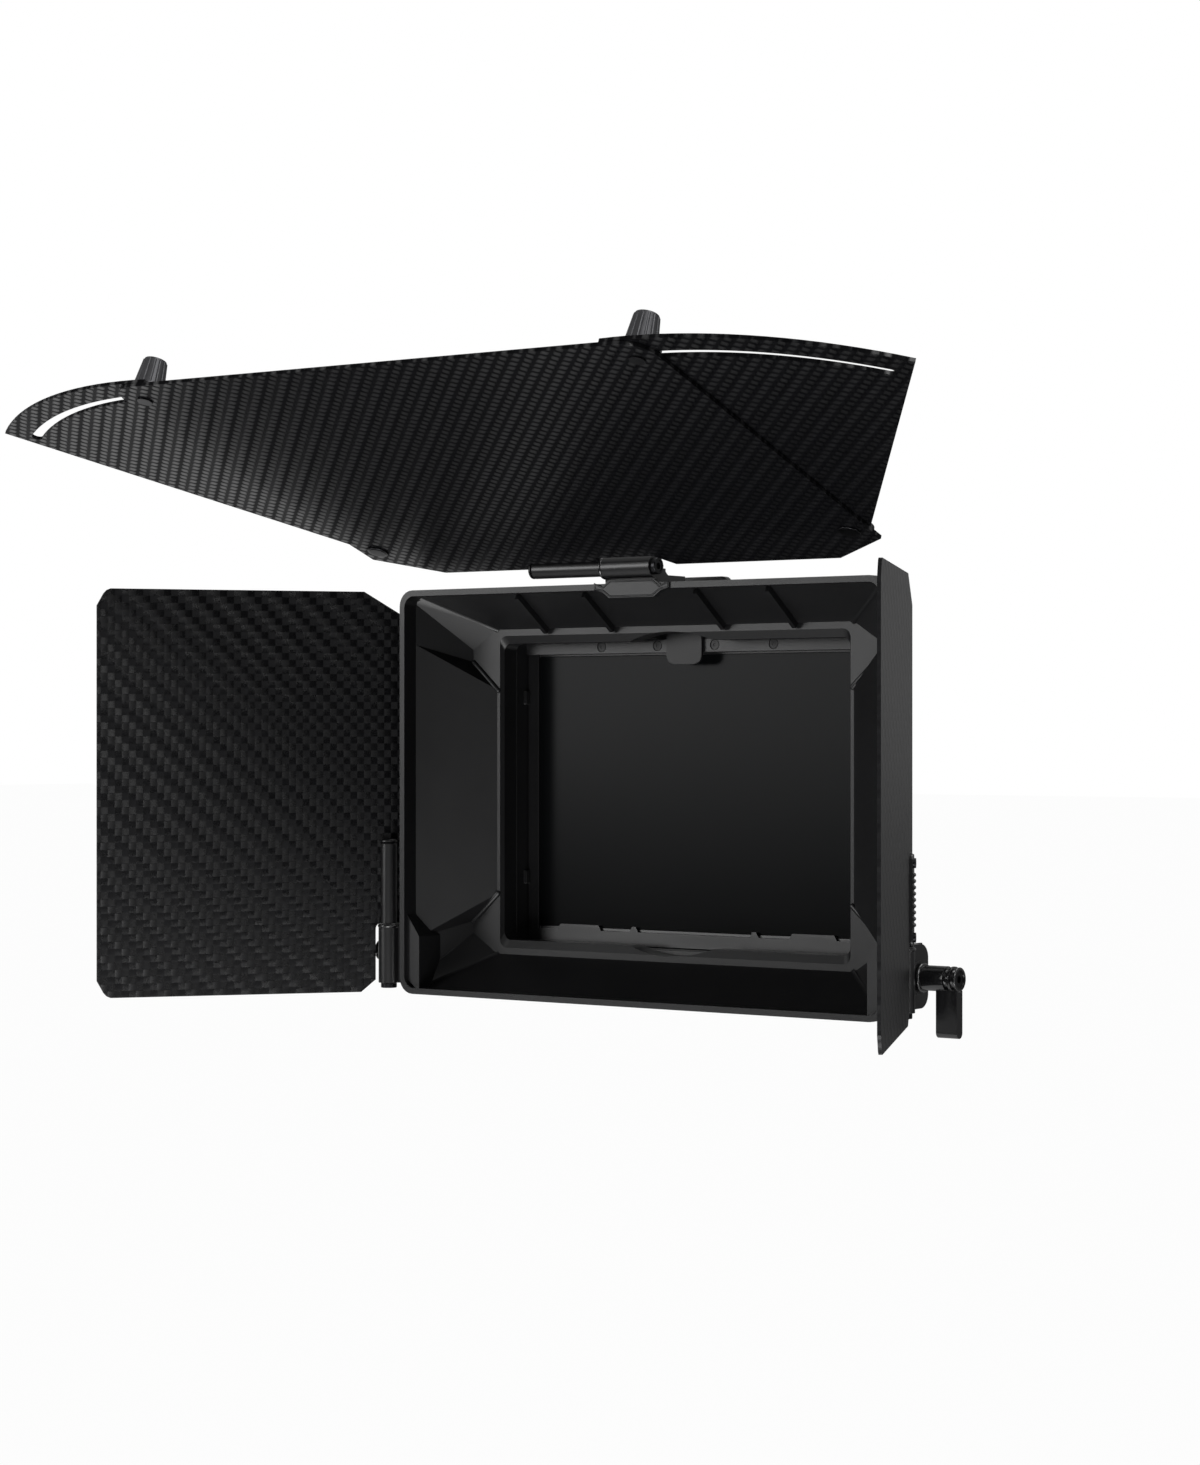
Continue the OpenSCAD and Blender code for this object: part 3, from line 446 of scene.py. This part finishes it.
def make_piece(name, points, faces, body, material):
    """Mesh object at the origin with its place in its vertices. Its faces are turned outwards,
    the way that makes the enclosed volume positive. It rides on a body and names its finish."""
    mesh = bpy.data.meshes.new(name)
    mesh.from_pydata(points.tolist(), [], faces)
    middle = points.mean(axis=0)
    fans = np.array([(f[0], f[k], f[k + 1]) for f in faces for k in range(1, len(f) - 1)])
    first, second, third = (points[fans[:, n]] - middle for n in range(3))
    volume = np.sum(first * np.cross(second, third))
    if volume < 0:
        mesh.flip_normals()
    mesh.shade_smooth()
    mesh.set_sharp_from_angle(angle=CREASE_FROM)
    piece = bpy.data.objects.new(name, mesh)
    scene.collection.objects.link(piece)
    mesh.materials.append(material)
    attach(piece, body)
    return piece


print("a new piece has a crease from", round(math.degrees(CREASE_FROM)), "degrees")


# %% [markdown]
# Rings, collars and domes are made on a lathe, and a lathe is easy to write down: a profile of
# radius and height turns about an axis. Both the profile and the angle are arrays, so the whole
# surface comes from one formula. The profile's two ends are joined, or closed by a flat face.

# %% A turned surface
def turned(profile, foot, axis, looped, steps=48):
    """Surface of revolution: foot + height * axis + radius * (cos(t) * across + sin(t) * along).
    profile is rows of (radius, height) in millimetres. looped joins its last row to its first."""
    axis = np.array(axis, float) / np.linalg.norm(axis)
    side = np.cross(axis, (1, 0, 0) if abs(axis[0]) < 0.7 else (0, 1, 0))
    side /= np.linalg.norm(side)
    other = np.cross(axis, side)
    radius, height = np.array(profile, float).T[:, :, None, None] * MM
    t = (np.arange(steps) * 2 * math.pi / steps)[None, :, None]
    points = np.array(foot, float) + height * axis + radius * (np.cos(t) * side + np.sin(t) * other)
    rows = len(profile)
    i, j = np.meshgrid(np.arange(rows if looped else rows - 1), np.arange(steps), indexing="ij")
    down, right = (i + 1) % rows, (j + 1) % steps
    corners = (i * steps + j, i * steps + right, down * steps + right, down * steps + j)
    faces = np.stack(corners, axis=-1).reshape(-1, 4).tolist()
    if not looped:
        faces += [list(range(steps))[::-1], list(range((rows - 1) * steps, rows * steps))]
    return points.reshape(-1, 3), faces


square_ring = turned([(1, 0), (2, 0), (2, 1), (1, 1)], (0, 0, 0), (0, 0, 1), True)
print("a square ring has", len(square_ring[0]), "points and", len(square_ring[1]), "faces")


# %% [markdown]
# Two profiles serve for most of these details: a bead, with a half-round outer side, and a dome
# that ends in a small flat, because the faces at a pole would be slivers.

# %% Profiles to turn
ROUND_END = math.radians(80)


def bead(inner, outer, low, high, count=9):
    """Closed profile of a ring whose outer side is a half circle: radius = outer - b + b * sin(a),
    height = middle - h * cos(a), with a from 0 to half a turn, and a straight inner side."""
    a = np.linspace(0, math.pi, count)
    bulge = min(outer - inner, (high - low) / 2)
    radius = outer - bulge + bulge * np.sin(a)
    height = (low + high) / 2 - (high - low) / 2 * np.cos(a)
    return [(inner, low)] + list(zip(radius, height)) + [(inner, high)]


def dome(radius, rise, count=7):
    """Open profile of a flattened half ball on a short skirt: radius * cos(a), rise * sin(a)."""
    a = np.linspace(0, ROUND_END, count)
    return [(radius, -0.3)] + list(zip(radius * np.cos(a), rise * np.sin(a)))


print("rows in a bead", len(bead(1, 2, 0, 1)), "and in a dome", len(dome(2, 1)))


# %% [markdown]
# On the real hinges the two barrels meet at a small collar, and the far end of the flag's barrel
# is rounded. Both are turned shapes on the hinge's own axis, and so is the rim of the pin's head.
# The axis comes from the joint, so they can't drift off it. The last three numbers of a row are
# places along the axis, in millimetres: where the barrels meet, where the flag's barrel ends, and
# where the pin's head ends.

# %% Hinge collars and barrel ends
BRACKET_R = 3.9
FLAG_R = 3.15
PIN_R = 3.3
HEAD_RIM = (2.2, 3.0)
HINGES = {
    "left": ("left_flag_swing", "left_flag", (0, 0, 1), -49.8, -18.5, -73.5),
    "right": ("right_flag_swing", "right_flag", (0, 0, 1), -49.8, -18.5, -73.5),
    "top": ("top_flag_tilt", "top_flag", (-1, 0, 0), 12.0, 43.3, -11.7)}
for side, (joint, body, axis, meet, end, head) in HINGES.items():
    pivot = np.array(joints[joint]["pos_m"]) * (1 - np.abs(axis))
    points, faces = turned(bead(PIN_R, BRACKET_R + 0.35, meet - 1.3, meet - 0.1), pivot, axis, True)
    make_piece(side + "_hinge_collar", points, faces, "root", gloss_anodised)
    tip = pivot + np.array(axis) * end * MM
    points, faces = turned(dome(FLAG_R, 1.1), tip, axis, False)
    make_piece(side + "_barrel_end", points, faces, body, satin_anodised)
    points, faces = turned(bead(*HEAD_RIM, -head - 0.3, 0.25 - head), pivot, -np.array(axis), True)
    make_piece(side + "_pin_rim", points, faces, body, black_steel)
print("hinge details", len(HINGES) * 3)

# %% [markdown]
# Each clamping lever stands on a flange and ends in a rim round its screw. These rings are what
# shines most on it, so they are made as their own beads on the lever's axis and turn with it.
# near and far are where the lever begins and ends along that axis, away from the hood.

# %% Lever rings
HUB_R = 4.3
SCREW_R = 3.2
for side in SIDES:
    joint = joints[side + "_lever_turn"]
    low, high = np.array(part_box(side + "_lever")) / MM
    outward = np.abs(joint["axis"]) * np.sign(joint["pos_m"])
    if side == "top":
        outward = np.array((0.0, 0.0, 1.0))
    lane = int(np.argmax(np.abs(outward)))
    foot = np.array(joint["pos_m"])
    near, far = sorted((abs(low[lane]), abs(high[lane])))
    foot[lane] = outward[lane] * near * MM
    body = side + "_lever"
    points, faces = turned(bead(HUB_R - 0.3, HUB_R + 0.7, 0.1, 1.5), foot, outward, True)
    make_piece(side + "_lever_flange", points, faces, body, gloss_anodised)
    end = far - near
    points, faces = turned(bead(SCREW_R, HUB_R - 0.2, end - 0.4, end + 0.25), foot, outward, True)
    make_piece(side + "_lever_rim", points, faces, body, gloss_anodised)
print("lever rings", 2 * len(SIDES))


# %% [markdown]
# Under the top flag each rivet and each knob stud sits in a thin round washer that keeps the
# carbon from crushing. The washer is a flat bead on the rivet's own axis, pressed against the
# panel.

# %% Washers under the top flag
RIVET_WASHER_R = 4.0
STUD_WASHER_R = 2.6
WASHER_BAND = 1.4


def lowest_along(node, axis, origin):
    """Least height of a node's points over origin, measured along axis, in millimetres."""
    points = np.empty(len(nodes[node].data.vertices) * 3)
    nodes[node].data.vertices.foreach_get("co", points)
    return ((points.reshape(-1, 3) - origin) @ axis).min() / MM


flag_normal = np.array((0.0, math.sin(TOP_TILT), math.cos(TOP_TILT)))
for side in SIDES[:2]:
    for joint, node, rim in ((side + "_wing_fold", side + "_wing_rivet", RIVET_WASHER_R),
                             (side + "_knob_turn", side + "_knob_stud", STUD_WASHER_R)):
        pivot = np.array(joints[joint]["pos_m"])
        under = lowest_along(node, flag_normal, pivot)
        ring = bead(rim - WASHER_BAND, rim, under + 0.1, under + 0.6)
        points, faces = turned(ring, pivot, flag_normal, True)
        make_piece(node + "_washer", points, faces, "top_flag", black_steel)
        print(node, "washer at", round(under, 2), "mm along the axis")


# %% [markdown]
# The bare pad on the top rim has a raised border, moulded with it. It is a small half-round
# section carried along the pad's outline, with the section leaning at each corner so that the
# runs meet in a mitre. The outline is the pad's own, in twelve points, drawn in by half a
# millimetre.

# %% A section carried along a closed path
def swept(path, section, normal):
    """Closed flat path with a section: path_i + a_j * mitre_i + b_j * normal, where mitre_i
    bisects the corner and is longer by 1 / cos(half the turn). Section rows are (a, b)."""
    ahead = np.roll(path, -1, axis=0) - path
    ahead /= np.linalg.norm(ahead, axis=1)[:, None]
    behind = np.roll(ahead, 1, axis=0)
    out_ahead, out_behind = np.cross(ahead, normal), np.cross(behind, normal)
    both = out_ahead + out_behind
    mitre = both * 2 / np.sum(both * both, axis=1)[:, None]
    aside, proud = np.array(section)[None, :, :1], np.array(section)[None, :, 1:]
    points = path[:, None, :] + aside * mitre[:, None, :] + proud * np.array(normal)
    n, m = len(path), len(section)
    i, j = np.meshgrid(np.arange(n), np.arange(m), indexing="ij")
    corners = (i * m + j, (i + 1) % n * m + j, (i + 1) % n * m + (j + 1) % m, i * m + (j + 1) % m)
    return points.reshape(-1, 3), np.stack(corners, axis=-1).reshape(-1, 4).tolist()


HOOD_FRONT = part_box("hood")[0][1]
TAB_MIDDLE, TAB_HALF, TAB_TOP, TAB_LOW, RIM = 1.3, 16.3, 76.7, 70.4, 75.5
BORDER_INSET = 0.5
BORDER_HALF, BORDER_RISE, BORDER_SINK = 0.35 * MM, 0.3 * MM, 0.05 * MM
corner_x = np.array([6.7, 3.6, 0.0, 0.0, 3.6, 6.7]) - TAB_HALF + BORDER_INSET
corner_z = np.array([TAB_TOP, TAB_TOP - 2.2, RIM, RIM - 2, TAB_LOW + 2.2, TAB_LOW])
corner_z += np.array([-BORDER_INSET, -0.45, -0.1, 0.1, 0.45, BORDER_INSET])
outline_x = np.concatenate([corner_x, -corner_x[::-1]]) + TAB_MIDDLE
outline_z = np.concatenate([corner_z, corner_z[::-1]])
outline = np.stack([outline_x * MM, np.full(len(outline_x), HOOD_FRONT), outline_z * MM], axis=1)
arc = np.linspace(0, math.pi, 7)
half_round = np.stack([BORDER_HALF * np.cos(arc), BORDER_RISE * np.sin(arc) - BORDER_SINK], axis=1)
points, faces = swept(outline, half_round, (0, -1, 0))
make_piece("tab_border", points, faces, "root", hood_nylon)
print("tab border corners", len(outline))


# %% [markdown]
# Where a corner pocket of the hood meets the flat border round the mouth, the mould leaves a
# rounded bead, and the ejector pins leave a small dot beside it. Both are a hair proud and shine
# in the dark funnel. A bead is a spindle, turned about the line of the joint and half sunk in the
# wall.

# %% Beads and dots in the funnel
BORDER_Y = -43.0
RIM_END_Y = -61.0
FOOT_OUTER, FOOT_INNER = (89.0, 48.7), (77.6, 38.2)
DOT = (82.1, 37.5)
DOT_PROUD = 2.3
POCKET_FRONT, POCKET_FOOT = (101.8, -69.2), (90.0, -54.2)


def spindle(radius, length, count=10):
    """Open profile of a rod with round ends: radius * cos(a) and radius * sin(a),
    with length added to the second where a is above 0."""
    a = np.linspace(-ROUND_END, ROUND_END, count)
    return list(zip(radius * np.cos(a), radius * np.sin(a) + length * (a > 0)))


def bead_between(name, start, end, radius):
    """Spindle of the hood's plastic from one point to another, in millimetres."""
    start, end = np.array(start), np.array(end)
    rod = spindle(radius, np.linalg.norm(end - start))
    points, faces = turned(rod, start * MM, end - start, False, 20)
    make_piece(name, points, faces, "root", hood_nylon)


for side, x in (("left", -1), ("right", 1)):
    for level, z in (("low", -1), ("high", 1)):
        corner = side + "_" + level
        bead_between("border_bead_" + corner, (FOOT_OUTER[0] * x, BORDER_Y, FOOT_OUTER[1] * z),
                     (FOOT_INNER[0] * x, BORDER_Y, FOOT_INNER[1] * z), 1.1)
        foot = np.array((DOT[0] * x, BORDER_Y - DOT_PROUD, DOT[1] * z)) * MM
        points, faces = turned(dome(0.55, 0.5), foot, (0, -1, 0), False, 16)
        make_piece("mould_dot_" + corner, points, faces, "root", hood_nylon)
    bead_between("pocket_bead_" + side, (POCKET_FRONT[0] * x, RIM_END_Y + 1, POCKET_FRONT[1]),
                 (POCKET_FOOT[0] * x, BORDER_Y, POCKET_FOOT[1]), 0.4)
print("funnel beads 6 and dots 4")


# %% [markdown]
# The studio is plain. Its pale floor lies well below the object. The camera sees it as nearly
# white, and the small rest is a plain diffuse floor that keeps the shadow.

# %% Floor
FLOOR_Z, FLOOR_HALF = -0.9, 40
WHITE_SHARE = 0.975


def stage_floor(z, half):
    """Square floor at height z. Mostly white to the camera, and a plain diffuse floor
    to everything else, with the part that isn't white keeping the shadow."""
    data = bpy.data.meshes.new("floor")
    corners = [(-half, -half, z), (half, -half, z), (half, half, z), (-half, half, z)]
    data.from_pydata(corners, [], [(0, 1, 2, 3)])
    floor = bpy.data.objects.new("floor", data)
    scene.collection.objects.link(floor)
    material, tree = new_material("pale_floor")
    shader = add(tree, "BsdfPrincipled", {"Base Color": srgb("f4f4f4"), "Roughness": 0.9})
    glow = add(tree, "Emission", {"Color": (1, 1, 1, 1), "Strength": 1.0})
    seen = add(tree, "LightPath").outputs["Is Camera Ray"]
    share = add(tree, "Math", {0: seen, 1: WHITE_SHARE}, operation="MULTIPLY")
    blend = add(tree, "MixShader", {0: share, 1: shader, 2: glow})
    add(tree, "OutputMaterial", {"Surface": blend})
    data.materials.append(material)


stage_floor(FLOOR_Z, FLOOR_HALF)
print("floor at", FLOOR_Z, "m")


# %% [markdown]
# The camera sees the world as white, and so does a ray that passes through a surface. The light
# that the world gives the object is set apart, and is low. A mirror ray sees the white at three
# tenths: black plastic that mirrored all of it would turn grey.

# %% World
SURROUND, MIRRORED_MORE = 0.1, 0.2

world = bpy.data.worlds.new("studio")
world.use_nodes = True
scene.world = world
sky = world.node_tree
sky.nodes.clear()
path = add(sky, "LightPath")
shown = add(sky, "Math", {0: path.outputs["Is Camera Ray"], 1: path.outputs["Is Transmission Ray"]},
            operation="MAXIMUM")
mirrored = add(sky, "Math", {0: path.outputs["Is Glossy Ray"], 1: MIRRORED_MORE, 2: SURROUND},
               operation="MULTIPLY_ADD")
strength = add(sky, "Math", {0: shown, 1: mirrored}, operation="MAXIMUM")
back = add(sky, "Background", {"Color": (1, 1, 1, 1), "Strength": strength})
add(sky, "OutputWorld", {"Surface": back})
print("the object gets", SURROUND, "of the white and mirrors", round(SURROUND + MIRRORED_MORE, 2))


# %% [markdown]
# All lights are flat panels, as soft boxes are, because a black object shows what it mirrors, and
# a panel draws a clean edge on it. A large one stands on the right in front and a wide fill on
# the left. Weaker ones below, behind and above draw the long soft lines on the edges, and the
# tall thin one on the right draws the line along the barrels and the rim.

# %% Lights
def soft_light(name, place, target, size, power, tall=None):
    """Area light at place that points at target: square, or a strip where tall gives its height."""
    data = bpy.data.lights.new(name, "AREA")
    data.shape = "RECTANGLE"
    data.size = size
    data.size_y = tall or size
    data.energy = power
    light = bpy.data.objects.new(name, data)
    light.visible_camera = False
    scene.collection.objects.link(light)
    direction = np.array(target) - np.array(place)
    light.location = place
    away = math.hypot(direction[0], direction[1])
    bearing = math.atan2(direction[1], direction[0])
    light.rotation_euler = (math.atan2(away, -direction[2]), 0, bearing - math.pi / 2)


MIDDLE = (0, -0.1, 0)
soft_light("key", (1.2, -0.7, 1.15), MIDDLE, 0.8, 9)
soft_light("front_left", (-1.05, -1.4, 0.4), MIDDLE, 0.9, 13)
soft_light("low_front", (0.32, -0.85, -0.7), (0, -0.05, 0), 0.5, 8)
soft_light("low_rear_left", (-0.95, 0.3, -0.45), (-0.1, -0.2, 0.12), 0.9, 1.2)
soft_light("top", (0.1, 0.5, 1.7), MIDDLE, 1.2, 12)
soft_light("strip_right", (1.3, -0.15, 0.1), MIDDLE, 0.08, 2.5, 1.2)


# %% [markdown]
# The Standard transform shows a colour as it is written, with no film curve over it.

# %% View settings
scene.view_settings.view_transform = "Standard"
print("view transform", scene.view_settings.view_transform)
